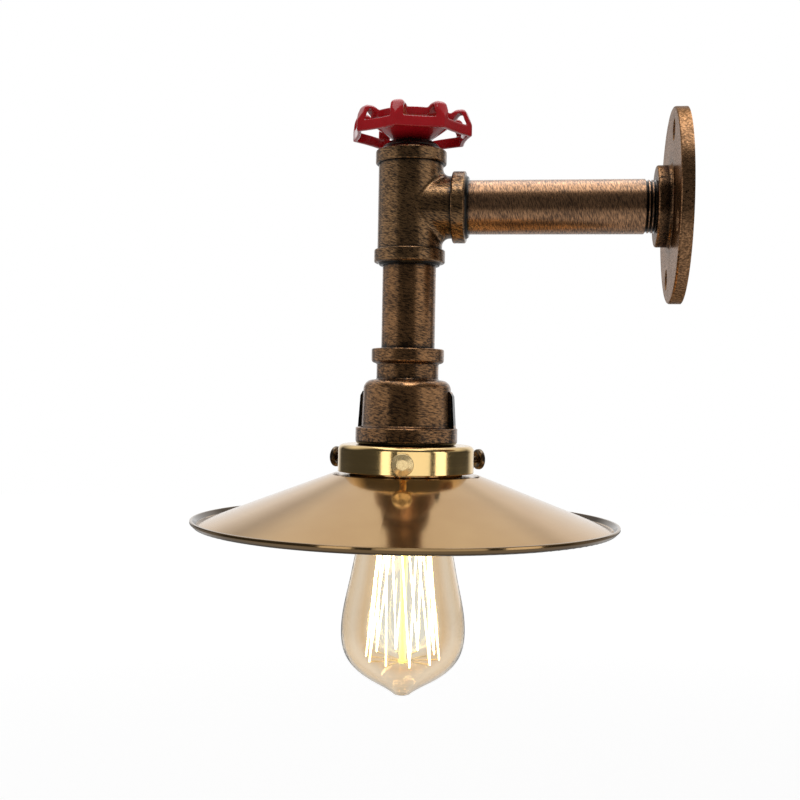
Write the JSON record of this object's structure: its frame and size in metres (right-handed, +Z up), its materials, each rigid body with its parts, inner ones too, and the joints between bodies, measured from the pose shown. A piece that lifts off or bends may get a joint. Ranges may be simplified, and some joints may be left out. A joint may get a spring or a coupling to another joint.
{
  "type": "industrial pipe wall light",
  "caption": "Wall light of threaded pipe fittings with a red valve handwheel, a shallow brass cone shade and a filament bulb.",
  "frame": {"origin": "centre of the wall flange's back face, on the arm's axis", "axes": "+Y into the wall, so the arm runs along -Y; +Z up; the picture looks along -X from +X"},
  "size_m": [0.218, 0.2455, 0.2993],
  "materials": {
    "bronze": "antique copper bronze brushed over black, satin",
    "plug_dark": "dark antique bronze, satin",
    "red_paint": "thick glossy red paint",
    "steel": "zinc plated",
    "holder_black": "moulded, matt",
    "porcelain": "glazed",
    "contact_brass": "plain",
    "gallery_brass": "turned, satin lacquer",
    "screw_brass": "antique brass",
    "shade_brass": "spun, brushed, satin",
    "amber_glass": "clear amber",
    "cap_brass": "rolled sheet",
    "cap_insulator": "black glass bead",
    "bulb_contact": "soldered",
    "stem_glass": "clear",
    "filament": "glowing carbon wire",
    "support_wire": "drawn wire",
    "block_plastic": "moulded",
    "brown_wire": "insulation",
    "blue_wire": "insulation",
    "earth_wire": "insulation"
  },
  "bodies": {
    "fixture": {"wall_flange": "bronze", "arm_pipe": "bronze", "tee": "bronze", "tee_plug": "plug_dark", "wheel_spindle": "steel", "wheel_washer": "steel", "wheel_nut": "steel", "drop_pipe": "bronze", "reducer": "bronze", "hollow_stud": "steel", "stud_nut": "steel", "holder_cap": "holder_black", "holder_body": "holder_black", "holder_base": "porcelain", "holder_terminals": "contact_brass", "holder_contact": "contact_brass", "holder_screw_shell": "contact_brass", "shade_ring": "holder_black", "shade_gallery": "gallery_brass", "shade": "shade_brass", "terminal_block": "block_plastic", "live_wire": "brown_wire", "neutral_wire": "blue_wire", "earth_wire": "earth_wire", "earth_tag": "contact_brass", "earth_screw": "steel"},
    "wheel": {"handwheel": "red_paint"},
    "screw_front": {"thumbscrew_front": "screw_brass"},
    "screw_right": {"thumbscrew_right": "screw_brass"},
    "screw_left": {"thumbscrew_left": "screw_brass"},
    "bulb": {"bulb_glass": "amber_glass", "bulb_cap": "cap_brass", "bulb_cap_insulator": "cap_insulator", "bulb_contact": "bulb_contact", "bulb_stem": "stem_glass", "bulb_filament": "filament", "bulb_supports": "support_wire"}
  },
  "joints": [
    {"name": "wheel_turn", "type": "hinge", "parent": "fixture", "child": "wheel", "pos_m": [0, -0.1365, 0.04], "axis": [0, 0, 1], "continuous": true},
    {"name": "screw_front_out", "type": "slide", "parent": "fixture", "child": "screw_front", "axis": [0.9962, 0.0872, 0], "range_m": [0, 0.006]},
    {"name": "screw_right_out", "type": "slide", "parent": "fixture", "child": "screw_right", "axis": [-0.5736, 0.8192, 0], "range_m": [0, 0.006]},
    {"name": "screw_left_out", "type": "slide", "parent": "fixture", "child": "screw_left", "axis": [-0.4226, -0.9063, 0], "range_m": [0, 0.006]},
    {"name": "bulb_out", "type": "slide", "parent": "fixture", "child": "bulb", "axis": [0, 0, -1], "range_m": [0, 0.065]}
  ]
}
